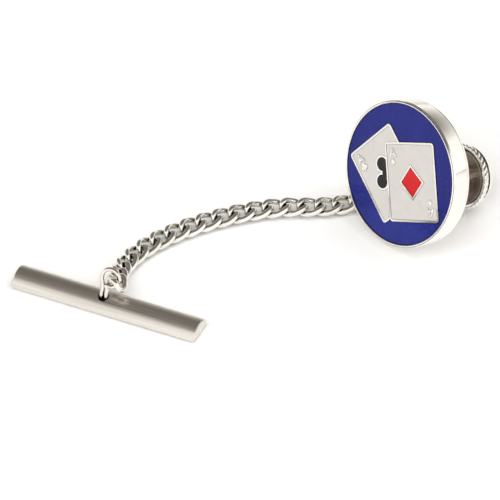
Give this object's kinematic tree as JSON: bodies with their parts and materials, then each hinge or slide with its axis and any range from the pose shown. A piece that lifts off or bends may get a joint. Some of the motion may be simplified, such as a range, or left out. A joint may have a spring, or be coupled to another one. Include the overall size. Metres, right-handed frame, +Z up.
{
  "type": "tie tack",
  "caption": "Round enamelled tie tack head on a sharp post, held by a ball clutch whose swivel collar carries a curb chain ending in a half round buttonhole bar.",
  "frame": {"origin": "middle of the footprint, on the surface it lies on", "axes": "+X along the footprint's longest side, with the head at the +X end, +Z up, away from the surface"},
  "size_m": [0.0514, 0.0274, 0.0156],
  "materials": {
    "polished": "polished",
    "link_metal": "polished",
    "satin": "fine satin brushed along the bar",
    "spring_steel": "drawn wire",
    "blue": "glossy enamel",
    "pearl": "glossy pearl enamel",
    "red": "glossy enamel",
    "black": "glossy enamel"
  },
  "bodies": {
    "head": {"head_shell": "polished", "back_plate": "polished", "blue_enamel": "blue", "front_card_enamel": "pearl", "rear_card_enamel": "pearl", "diamond_enamel": "red", "club_enamel": "black", "post": "polished"},
    "collar": {"swivel_collar": "polished"},
    "clutch": {"clutch_plate": "polished", "clutch_body": "polished", "spring_seat": "polished", "release_spring": "spring_steel"},
    "cap": {"clutch_cap": "polished", "ball_cage": "polished"},
    "ball_1": {"ball_1": "polished"},
    "ball_2": {"ball_2": "polished"},
    "ball_3": {"ball_3": "polished"},
    "ring": {"collar_ring": "polished"},
    "link_01": {"chain_link_01": "link_metal"},
    "link_02": {"chain_link_02": "link_metal"},
    "link_03": {"chain_link_03": "link_metal"},
    "link_04": {"chain_link_04": "link_metal"},
    "link_05": {"chain_link_05": "link_metal"},
    "link_06": {"chain_link_06": "link_metal"},
    "link_07": {"chain_link_07": "link_metal"},
    "link_08": {"chain_link_08": "link_metal"},
    "link_09": {"chain_link_09": "link_metal"},
    "link_10": {"chain_link_10": "link_metal"},
    "link_11": {"chain_link_11": "link_metal"},
    "link_12": {"chain_link_12": "link_metal"},
    "link_13": {"chain_link_13": "link_metal"},
    "link_14": {"chain_link_14": "link_metal"},
    "link_15": {"chain_link_15": "link_metal"},
    "link_16": {"chain_link_16": "link_metal"},
    "link_17": {"chain_link_17": "link_metal"},
    "link_18": {"chain_link_18": "link_metal"},
    "link_19": {"chain_link_19": "link_metal"},
    "link_20": {"chain_link_20": "link_metal"},
    "link_21": {"chain_link_21": "link_metal"},
    "link_22": {"chain_link_22": "link_metal"},
    "link_23": {"chain_link_23": "link_metal"},
    "bar": {"t_bar": "satin", "bar_eye": "polished"}
  },
  "joints": [
    {"name": "clutch_pull", "type": "slide", "parent": "head", "child": "collar", "axis": [0.7023, 0.6178, -0.3536], "range_m": [0, 0.006]},
    {"name": "clutch_spin", "type": "hinge", "parent": "collar", "child": "clutch", "pos_m": [0.02287, 0.00951, 0.00334], "axis": [0.7023, 0.6178, -0.3536], "continuous": true},
    {"name": "cap_release", "type": "slide", "parent": "clutch", "child": "cap", "axis": [0.7023, 0.6178, -0.3536], "range_m": [0, 0.00025], "stiffness_N_per_m": 2000, "springref_m": -0.0006, "deforming": ["release_spring"]},
    {"name": "ball_1_slide", "type": "slide", "parent": "cap", "child": "ball_1", "axis": [0.708, -0.5542, 0.4377], "range_m": [0, 0.00007]},
    {"name": "ball_2_slide", "type": "slide", "parent": "cap", "child": "ball_2", "axis": [-0.2895, -0.2059, -0.9348], "range_m": [0, 0.00007]},
    {"name": "ball_3_slide", "type": "slide", "parent": "cap", "child": "ball_3", "axis": [-0.4185, 0.7601, 0.4971], "range_m": [0, 0.00007]},
    {"name": "ring_swing", "type": "hinge", "parent": "collar", "child": "ring", "pos_m": [0.01979, 0.01193, 0.00144], "axis": [0.7023, 0.6178, -0.3536], "range_deg": [-12, 12]},
    {"name": "link_01_lift", "type": "hinge", "parent": "ring", "child": "link_01", "pos_m": [0.01914, 0.01219, 0.00249], "axis": [0.4218, -0.9067, 0], "range_deg": [-3.5, 12]},
    {"name": "link_02_yaw", "type": "hinge", "parent": "link_01", "child": "link_02", "pos_m": [0.0175, 0.01143, 0.0019], "axis": [0, 0, 1], "range_deg": [-10, 8]},
    {"name": "link_03_lift", "type": "hinge", "parent": "link_02", "child": "link_03", "pos_m": [0.01586, 0.01067, 0.00131], "axis": [0.4397, -0.8982, 0], "range_deg": [-6, 12]},
    {"name": "link_04_yaw", "type": "hinge", "parent": "link_03", "child": "link_04", "pos_m": [0.0142, 0.00985, 0.0009], "axis": [0, 0, 1], "range_deg": [-10, 10]},
    {"name": "link_05_lift", "type": "hinge", "parent": "link_04", "child": "link_05", "pos_m": [0.01253, 0.00894, 0.00085], "axis": [0.4466, -0.8947, 0], "range_deg": [-8, 12]},
    {"name": "link_06_yaw", "type": "hinge", "parent": "link_05", "child": "link_06", "pos_m": [0.01083, 0.00809, 0.00086], "axis": [0, 0, 1], "range_deg": [-10, 10]},
    {"name": "link_07_lift", "type": "hinge", "parent": "link_06", "child": "link_07", "pos_m": [0.00905, 0.00744, 0.00087], "axis": [0.1122, -0.9937, 0], "range_deg": [-8, 12]},
    {"name": "link_08_yaw", "type": "hinge", "parent": "link_07", "child": "link_08", "pos_m": [0.00716, 0.00722, 0.00087], "axis": [0, 0, 1], "range_deg": [-10, 10]},
    {"name": "link_09_lift", "type": "hinge", "parent": "link_08", "child": "link_09", "pos_m": [0.00526, 0.00717, 0.00087], "axis": [-0.0054, -1, 0], "range_deg": [-8, 12]},
    {"name": "link_10_yaw", "type": "hinge", "parent": "link_09", "child": "link_10", "pos_m": [0.00336, 0.00718, 0.00087], "axis": [0, 0, 1], "range_deg": [-10, 10]},
    {"name": "link_11_lift", "type": "hinge", "parent": "link_10", "child": "link_11", "pos_m": [0.00148, 0.00693, 0.00087], "axis": [0.2369, -0.9715, 0], "range_deg": [-8, 12]},
    {"name": "link_12_yaw", "type": "hinge", "parent": "link_11", "child": "link_12", "pos_m": [-0.00036, 0.00648, 0.00087], "axis": [0, 0, 1], "range_deg": [-10, 10]},
    {"name": "link_13_lift", "type": "hinge", "parent": "link_12", "child": "link_13", "pos_m": [-0.00219, 0.00593, 0.00087], "axis": [0.3434, -0.9392, 0], "range_deg": [-8, 12]},
    {"name": "link_14_yaw", "type": "hinge", "parent": "link_13", "child": "link_14", "pos_m": [-0.00397, 0.00528, 0.00087], "axis": [0, 0, 1], "range_deg": [-10, 10]},
    {"name": "link_15_lift", "type": "hinge", "parent": "link_14", "child": "link_15", "pos_m": [-0.00571, 0.00452, 0.00087], "axis": [0.4593, -0.8883, 0], "range_deg": [-8, 12]},
    {"name": "link_16_yaw", "type": "hinge", "parent": "link_15", "child": "link_16", "pos_m": [-0.0074, 0.00364, 0.00087], "axis": [0, 0, 1], "range_deg": [-10, 10]},
    {"name": "link_17_lift", "type": "hinge", "parent": "link_16", "child": "link_17", "pos_m": [-0.00902, 0.00265, 0.00087], "axis": [0.5865, -0.8099, 0], "range_deg": [-8, 12]},
    {"name": "link_18_yaw", "type": "hinge", "parent": "link_17", "child": "link_18", "pos_m": [-0.01056, 0.00154, 0.00087], "axis": [0, 0, 1], "range_deg": [-10, 10]},
    {"name": "link_19_lift", "type": "hinge", "parent": "link_18", "child": "link_19", "pos_m": [-0.01197, 0.00026, 0.00087], "axis": [0.7817, -0.6236, 0], "range_deg": [-8, 12]},
    {"name": "link_20_yaw", "type": "hinge", "parent": "link_19", "child": "link_20", "pos_m": [-0.01315, -0.00122, 0.00094], "axis": [0, 0, 1], "range_deg": [-10, 10]},
    {"name": "link_21_lift", "type": "hinge", "parent": "link_20", "child": "link_21", "pos_m": [-0.014, -0.0029, 0.00116], "axis": [0.9782, -0.2079, 0], "range_deg": [-8, 12]},
    {"name": "link_22_yaw", "type": "hinge", "parent": "link_21", "child": "link_22", "pos_m": [-0.01438, -0.00467, 0.00173], "axis": [0, 0, 1], "range_deg": [-10, 10]},
    {"name": "link_23_lift", "type": "hinge", "parent": "link_22", "child": "link_23", "pos_m": [-0.01445, -0.00643, 0.00243], "axis": [0.9998, 0.0183, 0], "range_deg": [-8, 12]},
    {"name": "bar_yaw", "type": "hinge", "parent": "link_23", "child": "bar", "pos_m": [-0.01442, -0.00819, 0.00317], "axis": [0, 0, 1], "range_deg": [-3.5, 10]}
  ],
  "couplings": [
    {"joint": "ball_1_slide", "follows": "cap_release", "ratio": 0.26795},
    {"joint": "ball_2_slide", "follows": "cap_release", "ratio": 0.26795},
    {"joint": "ball_3_slide", "follows": "cap_release", "ratio": 0.26795}
  ]
}
